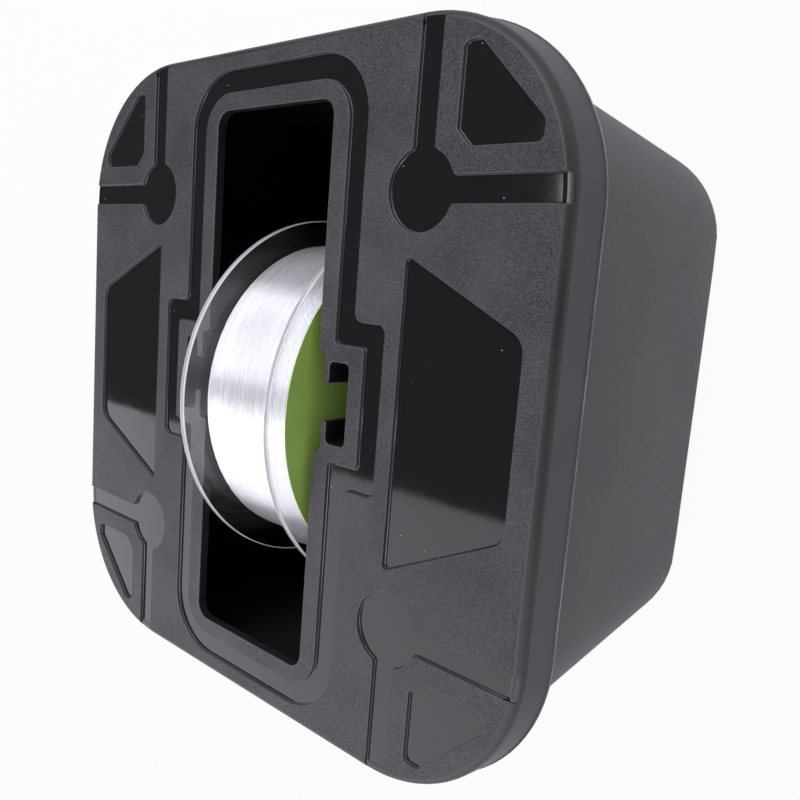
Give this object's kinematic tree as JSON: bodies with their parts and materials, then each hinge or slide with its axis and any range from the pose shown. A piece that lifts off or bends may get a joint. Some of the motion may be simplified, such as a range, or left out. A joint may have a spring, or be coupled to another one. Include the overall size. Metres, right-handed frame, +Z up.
{
  "type": "fishing line winder",
  "caption": "Square tapered box with a press-on lid; a bulk spool of fishing line stands on an axle across a long slot in the lid.",
  "frame": {"origin": "centre of the foot of the box, on the ground", "axes": "+Z up out of the lid; X along the axle, with the spring on the -X side; Y along the slot"},
  "size_m": [0.212, 0.212, 0.1532],
  "materials": {
    "tub_plastic": "satin dark grey",
    "lid_plastic": "fine stippled dark grey with polished recesses",
    "black_plastic": "satin",
    "steel": "satin",
    "rubber": "matt",
    "clear_plastic": "clear polished plastic",
    "label": "matt green",
    "line": "silvery translucent line"
  },
  "bodies": {
    "box": {"tub": "tub_plastic"},
    "lid": {"lid": "lid_plastic"},
    "stack": {"spacer_bush": "black_plastic", "drag_washer_left": "rubber", "drag_washer_right": "rubber", "tension_spring": "steel", "thrust_washer": "steel"},
    "axle": {"axle_rod": "steel", "axle_cap_left": "black_plastic", "axle_cap_right": "black_plastic"},
    "spool": {"spool_half_left": "clear_plastic", "spool_half_right": "clear_plastic", "spool_label": "label", "line_core": "line", "line_winding": "line"}
  },
  "joints": [
    {"name": "lid_lift", "type": "slide", "parent": "box", "child": "lid", "axis": [0, 0, 1], "range_m": [0, 0.12]},
    {"name": "axle_lift", "type": "slide", "parent": "lid", "child": "stack", "axis": [0, 0, 1], "range_m": [0, 0.12]},
    {"name": "axle_turn", "type": "hinge", "parent": "stack", "child": "axle", "pos_m": [0, 0, 0.091], "axis": [1, 0, 0], "continuous": true},
    {"name": "spool_turn", "type": "hinge", "parent": "stack", "child": "spool", "pos_m": [0, -0.0062, 0.091], "axis": [1, 0, 0], "continuous": true}
  ]
}
